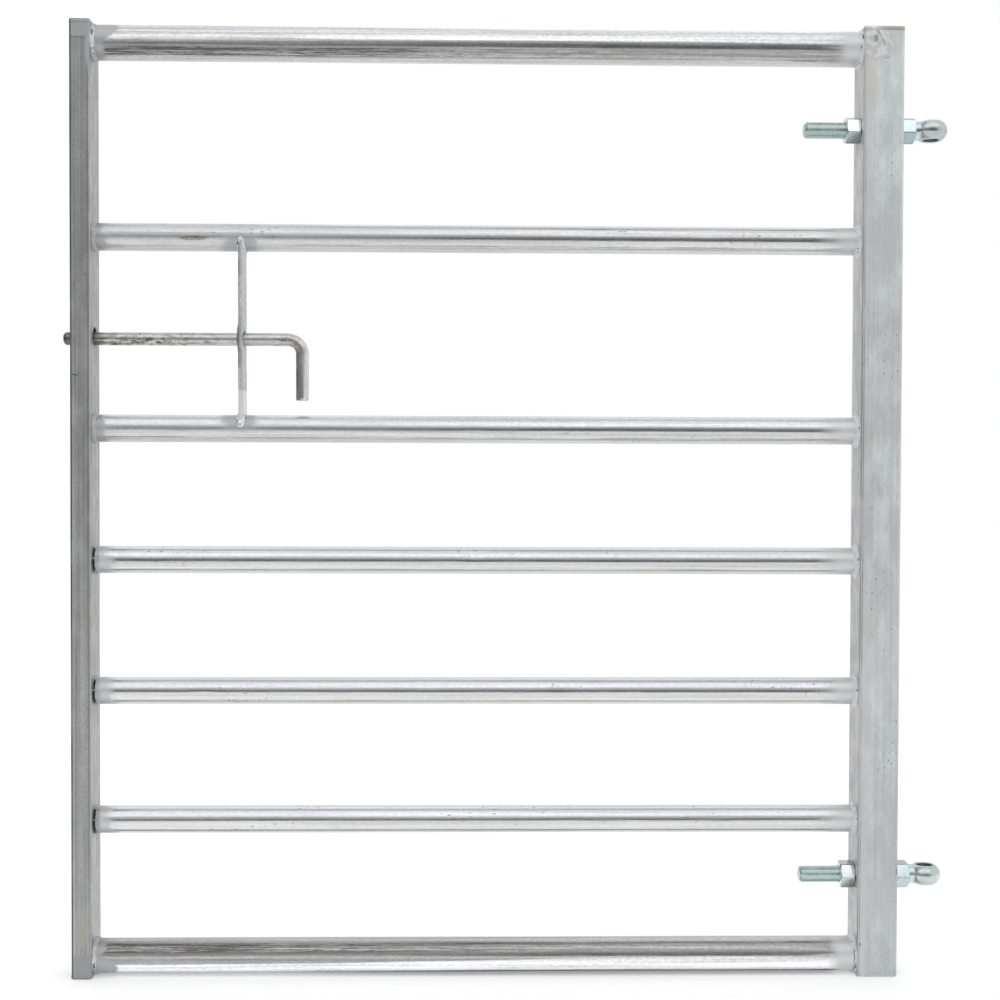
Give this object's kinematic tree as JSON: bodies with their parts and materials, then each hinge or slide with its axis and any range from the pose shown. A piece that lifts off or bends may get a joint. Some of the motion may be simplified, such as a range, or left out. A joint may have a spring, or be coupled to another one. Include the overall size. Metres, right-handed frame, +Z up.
{
  "type": "field gate",
  "caption": "Galvanised steel field gate of round rails between two box stiles, with threaded hinge eye bolts and a sliding bolt with a bent handle.",
  "frame": {"origin": "centre of the hole at the underside of the lower eye, on the hinge axis", "axes": "+Z up along the hinge axis, -X towards the closing stile, -Y out of the gate's front"},
  "size_m": [1.0902, 0.05, 1.17],
  "materials": {
    "stile_zinc": "hot-dip galvanised, light blue-grey, matt, streaked along its length",
    "closing_stile_zinc": "galvanised, darker mid grey, matt, streaked along its length",
    "rail_zinc": "bright galvanised tube, fine lengthwise scratches, matt zinc paint near the welds",
    "guide_zinc": "galvanised flat bar, matt",
    "bolt_zinc": "dull galvanised bar, mottled and scratched, dark at its tip",
    "eye_bolt_zinc_plate": "bright zinc plate with a cool tint, rolled thread and forged eye",
    "nut_zinc_plate": "bright zinc plate with a pale blue tint",
    "weld_zinc_paint": "lumpy weld beads under matt zinc paint"
  },
  "bodies": {
    "gate": {"hanging_stile": "stile_zinc", "closing_stile": "closing_stile_zinc", "hanging_stile_top_cap": "stile_zinc", "hanging_stile_bottom_cap": "stile_zinc", "closing_stile_top_cap": "closing_stile_zinc", "closing_stile_bottom_cap": "closing_stile_zinc", "top_rail": "rail_zinc", "second_rail": "rail_zinc", "third_rail": "rail_zinc", "fourth_rail": "rail_zinc", "fifth_rail": "rail_zinc", "sixth_rail": "rail_zinc", "bottom_rail": "rail_zinc", "bolt_guide": "guide_zinc", "upper_eye_bolt": "eye_bolt_zinc_plate", "lower_eye_bolt": "eye_bolt_zinc_plate", "upper_inner_nut": "nut_zinc_plate", "upper_outer_nut": "nut_zinc_plate", "lower_inner_nut": "nut_zinc_plate", "lower_outer_nut": "nut_zinc_plate", "hanging_stile_welds": "weld_zinc_paint", "closing_stile_welds": "weld_zinc_paint", "bolt_guide_welds": "weld_zinc_paint"},
    "bolt": {"slide_bolt": "bolt_zinc"}
  },
  "joints": [
    {"name": "bolt_slide", "type": "slide", "parent": "gate", "child": "bolt", "axis": [1, 0, 0], "range_m": [-0.05, 0.03]}
  ]
}
